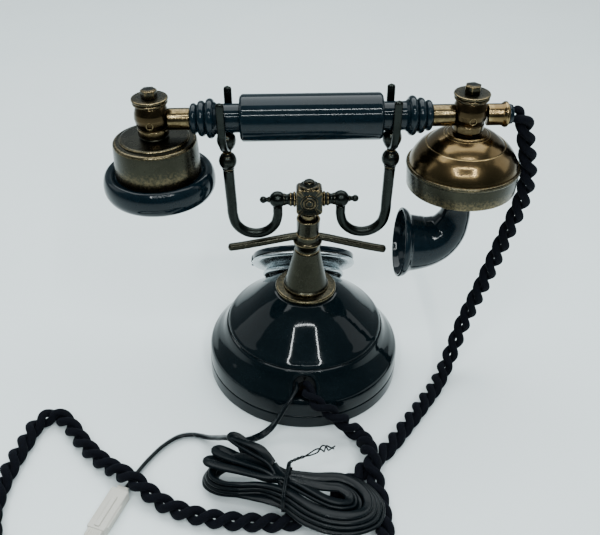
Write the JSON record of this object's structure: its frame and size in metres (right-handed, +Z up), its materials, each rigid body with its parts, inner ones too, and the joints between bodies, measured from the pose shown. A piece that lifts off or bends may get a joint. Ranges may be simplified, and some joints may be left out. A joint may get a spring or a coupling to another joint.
{
  "type": "telephone",
  "caption": "Cradle telephone with a dial on a round base, a handset with a horn mouthpiece, its twisted cord and a tied line cord",
  "frame": {"origin": "centre of the round base's underside, on the table", "axes": "+X along the handset towards the mouthpiece, +Y the side the dial faces, +Z up"},
  "size_m": [0.3425, 0.2849, 0.2232],
  "materials": {
    "enamel": "gloss, dark blue-black",
    "handle_gloss": "polished, dark blue-black",
    "bronze": "antiqued, polished on its high places",
    "brass": "polished, lacquered",
    "dark_bronze": "blackened, worn bright at the edges",
    "bright": "polished",
    "steel": "plain",
    "insulator": "moulded",
    "dial_card": "satin",
    "rope": "two-ply twist",
    "vinyl": "smooth satin",
    "plug": "moulded, warm white"
  },
  "bodies": {
    "telephone": {"base_plate": "enamel", "base_shell": "enamel", "base_screw_1": "steel", "base_screw_2": "steel", "base_screw_3": "steel", "ballast_disc": "steel", "ringer_sounder": "dark_bronze", "cord_anchor": "insulator", "hook_switch": "insulator", "column_flange": "bronze", "column_cone": "bronze", "wing_bracket": "bronze", "column_cup": "bronze", "hook_spring": "steel", "dial_mount_ring": "bright", "dial_mechanism": "steel", "dial_dish": "bright", "number_plate": "dial_card", "finger_stop": "bright", "handset_cord": "rope", "line_cord_near": "vinyl", "line_cord_far": "vinyl", "line_cord_hank": "vinyl", "twist_tie": "vinyl", "line_plug": "plug"},
    "dial": {"dial_shaft": "steel", "finger_wheel": "handle_gloss", "dial_cap": "bright"},
    "cradle": {"hook_spindle": "dark_bronze", "cross_block": "dark_bronze", "cradle_screw": "dark_bronze", "cross_bar_left": "dark_bronze", "cradle_arm_left": "dark_bronze", "arm_bead_left": "dark_bronze", "fork_left": "dark_bronze", "cross_bar_right": "dark_bronze", "cradle_arm_right": "dark_bronze", "arm_bead_right": "dark_bronze", "fork_right": "dark_bronze"},
    "handset": {"grip": "handle_gloss", "tie_rod": "steel", "ring_sleeve_left": "handle_gloss", "ring_sleeve_right": "handle_gloss", "receiver_tube": "brass", "receiver_hub": "brass", "receiver_washer": "bronze", "receiver_nut": "dark_bronze", "transmitter_tube": "brass", "transmitter_hub": "brass", "transmitter_washer": "bronze", "transmitter_nut": "dark_bronze", "receiver_shell": "bronze", "ear_cap": "handle_gloss", "receiver_capsule": "steel", "transmitter_bell": "brass", "transmitter_cover": "dark_bronze", "horn": "handle_gloss", "cord_stub": "brass", "cord_gland": "handle_gloss", "handset_cord_hanging": "rope"}
  },
  "joints": [
    {"name": "dial_turn", "type": "hinge", "parent": "telephone", "child": "dial", "pos_m": [0, 0.044, 0.0475], "axis": [0, 0.7193, 0.6947], "range_deg": [-330, 0], "stiffness_Nm_per_rad": 0.01},
    {"name": "handset_lift", "type": "slide", "parent": "telephone", "child": "handset", "axis": [0, 0, 1], "range_m": [0, 0.06]},
    {"name": "hook_travel", "type": "slide", "parent": "telephone", "child": "cradle", "axis": [0, 0, 1], "range_m": [0, 0.004], "deforming": ["hook_spring"]}
  ],
  "couplings": [
    {"joint": "hook_travel", "follows": "handset_lift", "ratio": 0.0666}
  ]
}
